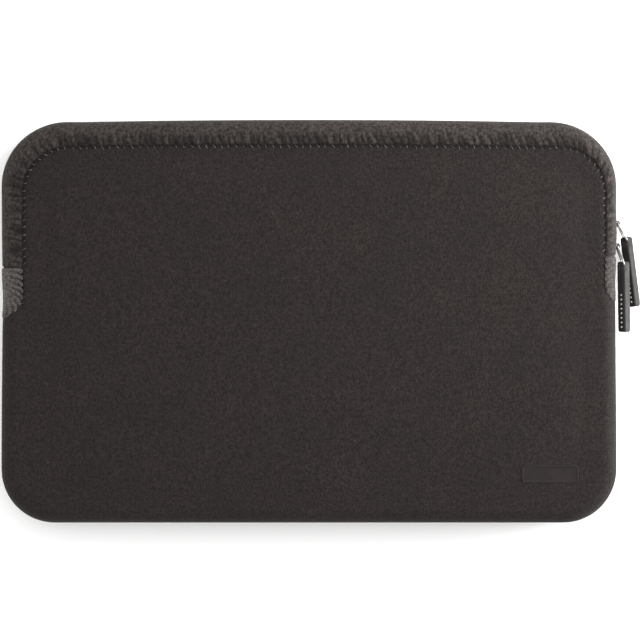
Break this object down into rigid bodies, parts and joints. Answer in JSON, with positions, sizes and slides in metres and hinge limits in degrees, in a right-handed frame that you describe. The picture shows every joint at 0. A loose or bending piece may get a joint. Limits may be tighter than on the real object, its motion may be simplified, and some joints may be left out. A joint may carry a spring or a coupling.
{
  "type": "laptop sleeve",
  "caption": "Padded neoprene laptop sleeve with a zip round the top and upper sides, a flap that opens and two zip sliders with rubber pulls.",
  "frame": {"origin": "centre of the back panel's flat outer face", "axes": "+X to the right seen from the front, +Y to the zipped top, +Z out of the front panel"},
  "size_m": [0.3298, 0.207, 0.0255],
  "materials": {
    "face_neoprene": "fine knit jersey over neoprene foam, matt",
    "band_neoprene": "knit jersey over neoprene foam, slightly lighter, matt",
    "elastic": "ribbed woven elastic, matt",
    "plush_lining": "short plush, matt",
    "binding": "woven binding tape, matt",
    "thread": "spun polyester sewing thread",
    "zip_tape": "woven polyester zip tape",
    "zip_coil": "nylon coil, satin",
    "slider_metal": "black enamelled die casting, satin",
    "wire": "bright nickel-plated wire",
    "pull_rubber": "moulded rubber, satin",
    "dot": "silver print on raised dots",
    "badge": "flat rubber patch, satin",
    "label": "satin label tape, blank"
  },
  "bodies": {
    "case": {"back_panel": "face_neoprene", "back_lining": "plush_lining", "back_band": "band_neoprene", "back_seam_thread": "thread", "front_panel_lower": "face_neoprene", "front_lining_lower": "plush_lining", "front_band_end": "band_neoprene", "front_seam_thread_end": "thread", "end_tab_left": "elastic", "end_tab_right": "elastic", "end_tab_thread": "thread", "side_seam_thread": "thread", "seam_binding": "binding", "zip_tape_back": "zip_tape", "zip_tape_front_ends": "zip_tape", "zip_coil_back": "zip_coil", "zip_coil_front_end": "zip_coil", "zip_stop_left": "zip_coil", "zip_stop_right": "zip_coil", "badge": "badge", "care_label": "label"},
    "flap": {"front_panel_upper": "face_neoprene", "front_lining_upper": "plush_lining", "front_band": "band_neoprene", "front_seam_thread": "thread", "zip_tape_front": "zip_tape", "zip_coil_front": "zip_coil"},
    "slider_2": {"slider_2": "slider_metal"},
    "slider_1": {"slider_1": "slider_metal"},
    "loop_2": {"pull_loop_2": "wire"},
    "loop_1": {"pull_loop_1": "wire"},
    "pull_2": {"pull_tab_2": "pull_rubber", "pull_dots_2": "dot"},
    "pull_1": {"pull_tab_1": "pull_rubber", "pull_dots_1": "dot"}
  },
  "joints": [
    {"name": "flap_open", "type": "hinge", "parent": "case", "child": "flap", "pos_m": [0, 0.04905, 0.025], "axis": [0.9909, 0.1345, 0], "range_deg": [0, 70]},
    {"name": "slider_2_slide", "type": "slide", "parent": "case", "child": "slider_2", "axis": [0, 1, 0], "range_m": [0, 0.006]},
    {"name": "slider_1_slide", "type": "slide", "parent": "slider_2", "child": "slider_1", "axis": [0, 1, 0], "range_m": [0, 0.0075]},
    {"name": "loop_1_swing", "type": "hinge", "parent": "slider_1", "child": "loop_1", "pos_m": [0.1589, 0.0504, 0.0125], "axis": [0, 0, 1], "range_deg": [-4, 95]},
    {"name": "pull_1_swing", "type": "hinge", "parent": "loop_1", "child": "pull_1", "pos_m": [0.16445, 0.04185, 0.0079], "axis": [0, 0, 1], "range_deg": [-3, 70]},
    {"name": "loop_2_swing", "type": "hinge", "parent": "slider_2", "child": "loop_2", "pos_m": [0.1589, 0.0388, 0.0125], "axis": [0, 0, 1], "range_deg": [0, 80]},
    {"name": "pull_2_swing", "type": "hinge", "parent": "loop_2", "child": "pull_2", "pos_m": [0.16154, 0.02895, 0.0171], "axis": [0, 0, 1], "range_deg": [0, 70]}
  ]
}
